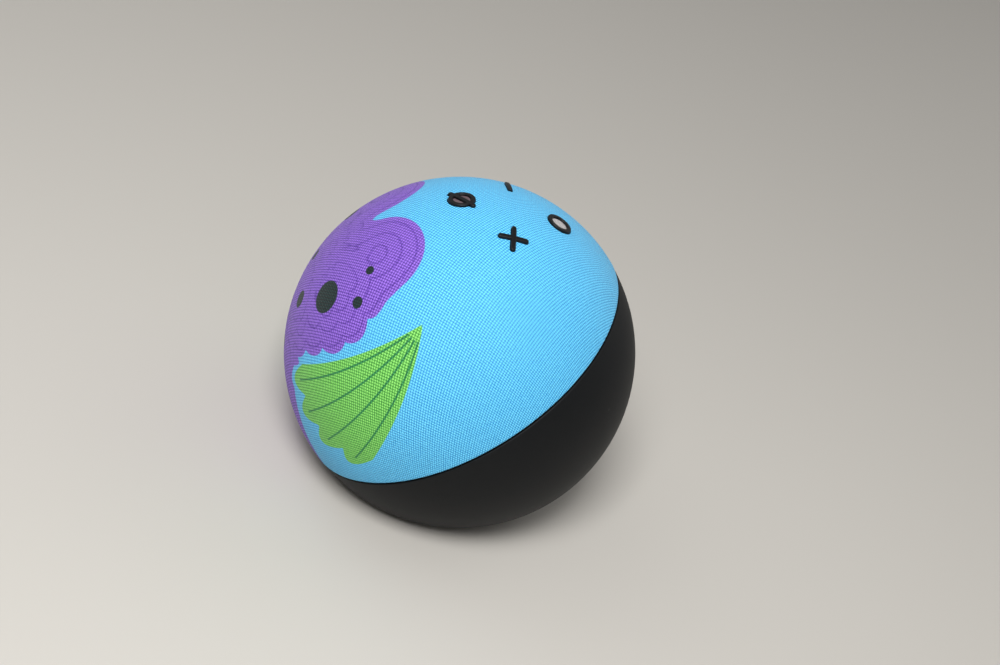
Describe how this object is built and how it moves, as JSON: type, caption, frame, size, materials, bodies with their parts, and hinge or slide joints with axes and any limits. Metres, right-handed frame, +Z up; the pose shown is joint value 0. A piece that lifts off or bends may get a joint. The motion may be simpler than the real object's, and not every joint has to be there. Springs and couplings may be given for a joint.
{
  "type": "smart speaker",
  "caption": "Ball-shaped voice speaker with a printed knitted front cover, black rear shell, light ring round the foot and raised buttons on top.",
  "frame": {"origin": "on the ground, under the middle of the ball", "axes": "+Z up, -Y out of the front, +X to the right as seen from the front"},
  "size_m": [0.1, 0.0998, 0.089],
  "materials": {
    "cover_fabric": "knitted polyester, printed",
    "grille_plastic": "moulded, perforated",
    "rear_plastic": "fine matte moulded",
    "seam_rubber": "soft",
    "foot_rubber": "soft, matte",
    "base_plastic": "moulded",
    "diffuser_plastic": "smoked translucent",
    "guide_plastic": "milky translucent",
    "screw_steel": "zinc plated",
    "circuit_board": "solder resist",
    "led_plastic": "clear",
    "chip_plastic": "moulded",
    "shield_metal": "tin plated",
    "capacitor_metal": "bright",
    "ferrite": "sintered",
    "connector_plastic": "moulded",
    "pad_silicone": "soft",
    "chassis_zinc": "die cast",
    "jack_plastic": "moulded",
    "contact_brass": "nickel plated",
    "antenna_foil": "foil",
    "box_plastic": "moulded",
    "seal_foam": "closed-cell foam",
    "lead_copper": "insulated",
    "basket_steel": "pressed",
    "pole_steel": "zinc plated",
    "magnet_ferrite": "sintered",
    "surround_rubber": "soft",
    "spider_cloth": "impregnated",
    "cone_paper": "pressed",
    "former_film": "film",
    "coil_copper": "wound",
    "guide_frame_plastic": "moulded",
    "ribbon_film": "film",
    "button_plastic": "soft matte",
    "lens_plastic": "milky"
  },
  "bodies": {
    "housing": {"amplifier_chip": "chip_plastic", "antennas": "antenna_foil", "baffle_screws": "screw_steel", "base_cover": "base_plastic", "base_screws": "screw_steel", "board_screws": "screw_steel", "box_mount_screws": "screw_steel", "box_seal": "seal_foam", "button_guide": "guide_frame_plastic", "capacitors": "capacitor_metal", "chassis_screws": "screw_steel", "driver_basket": "basket_steel", "driver_gasket": "seal_foam", "driver_screws": "screw_steel", "driver_spider": "spider_cloth", "driver_surround": "surround_rubber", "ear_screws": "screw_steel", "fabric_cover": "cover_fabric", "foot_pad": "foot_rubber", "grille_shell": "grille_plastic", "heat_sink": "chassis_zinc", "inductors": "ferrite", "light_guide": "guide_plastic", "light_ring": "diffuser_plastic", "magnet": "magnet_ferrite", "magnet_yoke": "pole_steel", "main_board": "circuit_board", "memory_chip": "chip_plastic", "mic_board": "circuit_board", "microphones": "shield_metal", "pole_plate": "pole_steel", "power_jack_body": "jack_plastic", "power_jack_contact": "contact_brass", "power_jack_pin": "contact_brass", "processor_chip": "chip_plastic", "rear_shell": "rear_plastic", "ribbon_cable": "ribbon_film", "ribbon_connectors": "connector_plastic", "ring_leds": "led_plastic", "seam_gasket": "seam_rubber", "speaker_baffle": "box_plastic", "speaker_box": "box_plastic", "speaker_connector": "connector_plastic", "speaker_leads": "lead_copper", "tact_switches": "shield_metal", "terminal_strip": "connector_plastic", "thermal_pad": "pad_silicone", "top_screws": "screw_steel", "wire_grommet": "seal_foam", "wireless_shield": "shield_metal"},
    "speaker_cone": {"driver_cone": "cone_paper", "dust_cap": "cone_paper", "voice_coil_former": "former_film", "voice_coil": "coil_copper"},
    "volume_up": {"volume_up_button": "button_plastic"},
    "volume_down": {"volume_down_button": "button_plastic"},
    "action": {"action_button": "button_plastic", "action_button_lens": "lens_plastic"},
    "mic_off": {"mic_off_button": "button_plastic", "mic_off_button_lens": "lens_plastic"}
  },
  "joints": [
    {"name": "volume_up_press", "type": "slide", "parent": "housing", "child": "volume_up", "axis": [0, 0, -1], "range_m": [0, 0.0005], "stiffness_N_per_m": 4000},
    {"name": "volume_down_press", "type": "slide", "parent": "housing", "child": "volume_down", "axis": [0, 0, -1], "range_m": [0, 0.0005], "stiffness_N_per_m": 4000},
    {"name": "action_press", "type": "slide", "parent": "housing", "child": "action", "axis": [0, 0, -1], "range_m": [0, 0.0005], "stiffness_N_per_m": 4000},
    {"name": "mic_off_press", "type": "slide", "parent": "housing", "child": "mic_off", "axis": [0, 0, -1], "range_m": [0, 0.0005], "stiffness_N_per_m": 4000},
    {"name": "cone_travel", "type": "slide", "parent": "housing", "child": "speaker_cone", "axis": [0, -1, 0], "range_m": [-0.0015, 0.0015], "stiffness_N_per_m": 1200, "deforming": ["driver_surround", "driver_spider"]}
  ]
}
